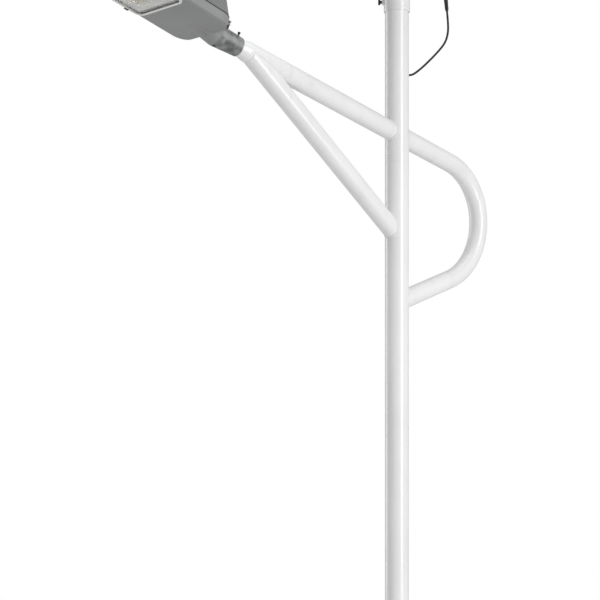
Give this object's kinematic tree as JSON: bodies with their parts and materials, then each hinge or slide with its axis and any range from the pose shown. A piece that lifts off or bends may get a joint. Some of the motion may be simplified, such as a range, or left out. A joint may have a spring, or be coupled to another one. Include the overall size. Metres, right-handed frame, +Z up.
{
  "type": "solar street lamp",
  "caption": "White steel street lamp: bolted pole with service door, braced arm with D-shaped loop, tilting solar panel, and a grey LED luminaire on the spigot.",
  "frame": {"origin": "centre of the base plate's underside, on the ground", "axes": "+Z up the pole; the arm and luminaire point to -X, the loop to +X; the service door faces -Y"},
  "size_m": [1.6814, 0.67, 4.4232],
  "materials": {
    "white_powder_coat": "satin",
    "zinc_steel": "satin",
    "cast_grey": "satin powder coat",
    "black_rubber": "matt",
    "black_plastic": "matt",
    "blue_case": "satin",
    "grey_case": "satin",
    "brass_post": "satin",
    "anodised_frame": "satin",
    "panel_glass": "polished",
    "cell_blue": "gloss",
    "white_sheet": "matt",
    "lamp_glass": "frosted",
    "cream_reflector": "satin",
    "dark_frame": "satin",
    "white_board": "gloss",
    "led_yellow": "gloss",
    "silver_plate": "satin"
  },
  "bodies": {
    "pole": {"base_plate": "white_powder_coat", "base_gussets": "white_powder_coat", "base_tube": "white_powder_coat", "reducing_cone": "white_powder_coat", "pole_tube": "white_powder_coat", "door_seal": "black_rubber", "door_hinge_tabs": "white_powder_coat", "door_hinge_pins": "zinc_steel", "equipment_plate": "zinc_steel", "plate_brackets": "zinc_steel", "bracket_screws": "zinc_steel", "battery_pack": "blue_case", "battery_terminals": "brass_post", "battery_straps": "zinc_steel", "charge_controller": "grey_case", "arm_tube": "white_powder_coat", "brace_tube": "white_powder_coat", "loop_tube": "white_powder_coat", "cable_grommet": "black_rubber", "panel_cable": "black_rubber"},
    "door": {"door_cover": "white_powder_coat", "door_lock_body": "zinc_steel"},
    "door_key": {"door_lock_cam": "zinc_steel"},
    "lamp": {"lamp_housing": "cast_grey", "cover_seal": "black_rubber", "cover_hinge_pins": "zinc_steel", "neck_set_screws": "zinc_steel", "lamp_glass": "lamp_glass", "glass_frame": "dark_frame", "glass_clips": "zinc_steel", "reflector": "cream_reflector", "led_board": "white_board", "led_heat_plate": "silver_plate", "led_chips": "led_yellow", "led_driver": "silver_plate", "terminal_block": "black_plastic"},
    "lamp_lid": {"lamp_cover": "cast_grey"},
    "screw_near": {"cover_screw_near": "black_plastic"},
    "screw_far": {"cover_screw_far": "black_plastic"},
    "panel_base": {"panel_sleeve": "white_powder_coat", "sleeve_bolts": "zinc_steel", "tilt_yoke": "white_powder_coat", "tilt_pivot_bolt": "zinc_steel", "cable_splice": "black_rubber", "panel_leads": "black_rubber"},
    "panel": {"tilt_head": "white_powder_coat", "tilt_lock_bolts": "zinc_steel", "cradle_beam": "white_powder_coat", "panel_rails": "white_powder_coat", "rail_bolts": "zinc_steel", "frame_bolts": "zinc_steel", "panel_frame_low": "anodised_frame", "panel_frame_high": "anodised_frame", "panel_frame_near": "anodised_frame", "panel_frame_far": "anodised_frame", "panel_glass": "panel_glass", "panel_cells": "cell_blue", "panel_backsheet": "white_sheet", "junction_box": "black_plastic", "junction_box_lid": "black_plastic"}
  },
  "joints": [
    {"name": "door_hinge", "type": "hinge", "parent": "pole", "child": "door", "pos_m": [0.06391, -0.04643, 0.58], "axis": [0, 0, 1], "range_deg": [0, 120]},
    {"name": "door_lock_turn", "type": "hinge", "parent": "door", "child": "door_key", "pos_m": [-0.02855, -0.06892, 0.58], "axis": [0.3827, 0.9239, 0], "range_deg": [0, 90]},
    {"name": "panel_swivel", "type": "hinge", "parent": "pole", "child": "panel_base", "pos_m": [0, 0, 4], "axis": [0, 0, 1], "range_deg": [-25, 25], "deforming": ["panel_cable"]},
    {"name": "panel_tilt", "type": "hinge", "parent": "panel_base", "child": "panel", "pos_m": [0, 0, 4.12], "axis": [0, -1, 0], "range_deg": [-18, 18], "deforming": ["panel_leads"]},
    {"name": "lamp_roll", "type": "hinge", "parent": "pole", "child": "lamp", "pos_m": [-0.631, 0, 3.66733], "axis": [-0.9553, 0, 0.2957], "range_deg": [-10, 10]},
    {"name": "lamp_cover_hinge", "type": "hinge", "parent": "lamp", "child": "lamp_lid", "pos_m": [-1.26159, 0, 3.90831], "axis": [0, -1, 0], "range_deg": [0, 75]},
    {"name": "cover_screw_near_turn", "type": "hinge", "parent": "lamp", "child": "screw_near", "pos_m": [-0.72272, -0.074, 3.70941], "axis": [0.3437, 0, 0.9391], "continuous": true},
    {"name": "cover_screw_far_turn", "type": "hinge", "parent": "lamp", "child": "screw_far", "pos_m": [-0.72272, 0.074, 3.70941], "axis": [0.3437, 0, 0.9391], "continuous": true}
  ]
}
